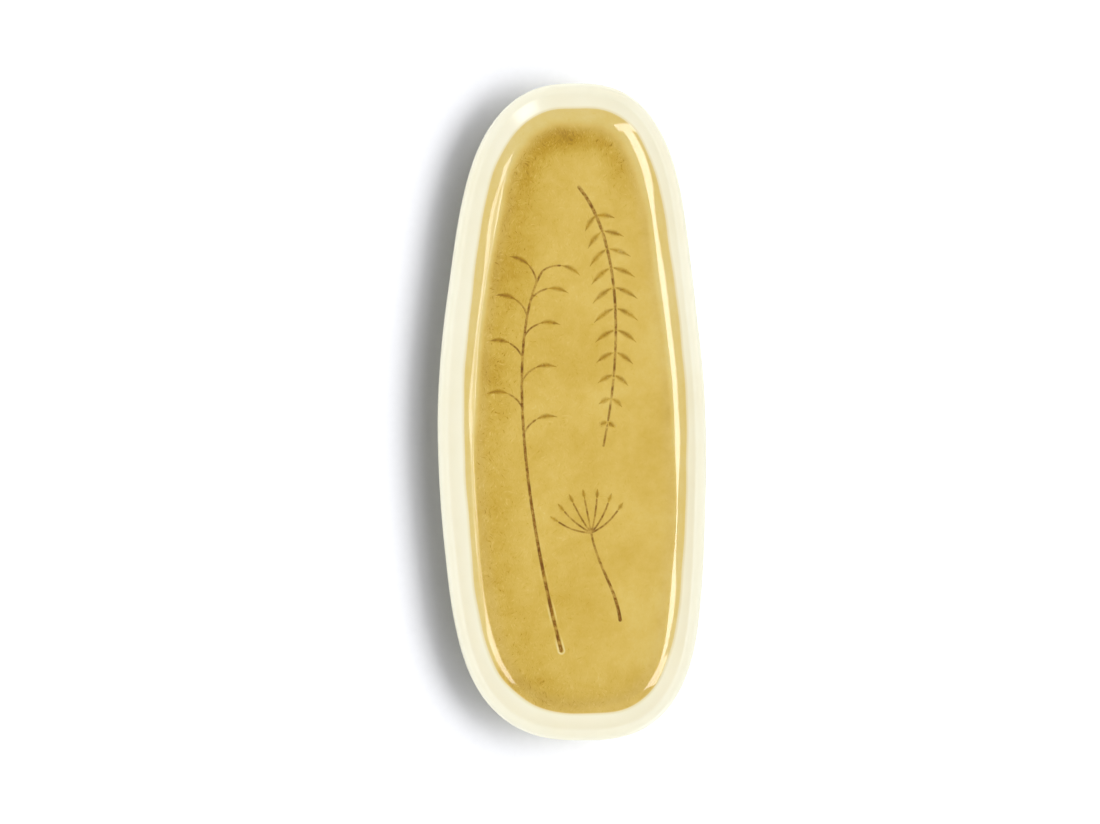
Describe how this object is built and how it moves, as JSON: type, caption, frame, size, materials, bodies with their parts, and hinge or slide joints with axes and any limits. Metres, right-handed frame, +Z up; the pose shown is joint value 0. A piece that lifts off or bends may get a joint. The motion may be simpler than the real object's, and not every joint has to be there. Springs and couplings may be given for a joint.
{
  "type": "oval serving platter",
  "caption": "Long oval stoneware platter with a rounded rim, a shallow well and a foot ring, glazed cream outside and amber inside, with dark pressed-plant lines in the well.",
  "frame": {"origin": "on the table plane, under the middle of the platter's outline box", "axes": "+Z up, out of the well; +Y along the platter towards its narrower end; +X across it"},
  "size_m": [0.164, 0.4, 0.025],
  "materials": {
    "stoneware": "bare fired clay, matt, fine grained",
    "cream_glaze": "glossy cream glaze, softly uneven from dipping",
    "amber_glaze": "glossy honey-coloured glaze, darker and mottled where it pools",
    "iron_stain": "brown iron stain under gloss, in pressed lines"
  },
  "bodies": {
    "root": {"stoneware_body": "stoneware", "foot_ring": "stoneware", "rim_glaze": "cream_glaze", "underside_glaze": "cream_glaze", "well_glaze": "amber_glaze", "fern_inlay": "iron_stain", "oat_grass_inlay": "iron_stain", "umbel_inlay": "iron_stain"}
  },
  "joints": []
}
